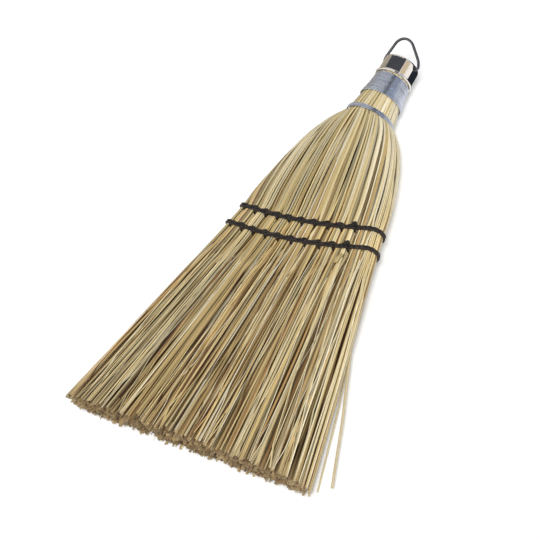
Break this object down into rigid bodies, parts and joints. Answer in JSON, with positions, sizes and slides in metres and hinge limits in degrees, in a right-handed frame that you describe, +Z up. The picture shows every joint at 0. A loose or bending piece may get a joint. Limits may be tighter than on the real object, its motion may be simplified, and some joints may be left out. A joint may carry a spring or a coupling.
{
  "type": "hand broom",
  "caption": "Whisk broom of fanned straw stalks sewn flat with dark twine, wire-bound at the neck, with a metal end cap and a swinging wire loop to hang it by",
  "frame": {"origin": "on the surface the broom lies on, under the middle of its outline", "axes": "+Y along the broom from the cut end to the hanging loop, +Z up out of the front face, +X across the width to the right as seen from the front"},
  "size_m": [0.1788, 0.2712, 0.0308],
  "materials": {
    "nickel": "bright nickel plate",
    "bail_steel": "dark drawn wire",
    "galvanised_wire": "satin galvanised",
    "brad_steel": "plain",
    "twine": "twisted, waxed",
    "cover_straw": "dry straw",
    "core_straw": "dry straw"
  },
  "bodies": {
    "broom": {"end_cap": "nickel", "neck_winding": "galvanised_wire", "shoulder_band": "galvanised_wire", "wire_brads": "brad_steel", "upper_wrap_twine": "twine", "upper_stitch_twine": "twine", "lower_wrap_twine": "twine", "lower_stitch_twine": "twine", "left_edge_stalks": "cover_straw", "right_edge_stalks": "cover_straw", "front_stalks_1": "cover_straw", "front_stalks_2": "cover_straw", "front_stalks_3": "cover_straw", "front_stalks_4": "cover_straw", "front_stalks_5": "cover_straw", "front_stalks_6": "cover_straw", "front_stalks_7": "cover_straw", "front_stalks_8": "cover_straw", "front_stalks_9": "cover_straw", "front_stalks_10": "cover_straw", "back_stalks_1": "cover_straw", "back_stalks_2": "cover_straw", "back_stalks_3": "cover_straw", "back_stalks_4": "cover_straw", "back_stalks_5": "cover_straw", "back_stalks_6": "cover_straw", "back_stalks_7": "cover_straw", "back_stalks_8": "cover_straw", "back_stalks_9": "cover_straw", "back_stalks_10": "cover_straw", "core_bunch_1": "core_straw", "core_bunch_2": "core_straw", "core_bunch_3": "core_straw", "core_bunch_4": "core_straw", "core_bunch_5": "core_straw", "core_bunch_6": "core_straw", "core_bunch_7": "core_straw", "core_bunch_8": "core_straw", "core_bunch_9": "core_straw", "core_bunch_10": "core_straw"},
    "bail": {"hanging_bail": "bail_steel"}
  },
  "joints": [
    {"name": "bail_swing", "type": "hinge", "parent": "broom", "child": "bail", "pos_m": [0, 0.12078, 0.01642], "axis": [1, 0, 0], "range_deg": [-152, 88]}
  ]
}
